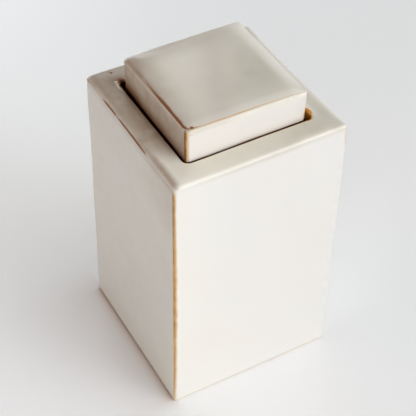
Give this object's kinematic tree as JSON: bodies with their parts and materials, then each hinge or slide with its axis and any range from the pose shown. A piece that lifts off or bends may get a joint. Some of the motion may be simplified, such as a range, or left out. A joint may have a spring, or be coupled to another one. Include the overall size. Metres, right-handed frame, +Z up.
{
  "type": "lidded jar",
  "caption": "Square glazed stoneware jar with a raised square block lid that sits down in a recessed mouth and lifts straight off.",
  "frame": {"origin": "centre of the jar's underside, on the surface that it stands on", "axes": "+Z up through the lid, +X and +Y square to the jar's side walls"},
  "size_m": [0.1, 0.1, 0.1827],
  "materials": {
    "jar_glaze": "glossy warm white glaze that breaks to honey brown along its edges",
    "lid_glaze": "glossy warm white glaze, pooled thicker and greyer on the top, that breaks to honey brown along its edges"
  },
  "bodies": {
    "jar": {"jar_body": "jar_glaze"},
    "lid": {"lid": "lid_glaze"}
  },
  "joints": [
    {"name": "lid_lift", "type": "slide", "parent": "jar", "child": "lid", "axis": [0, 0, 1], "range_m": [0, 0.08]}
  ]
}
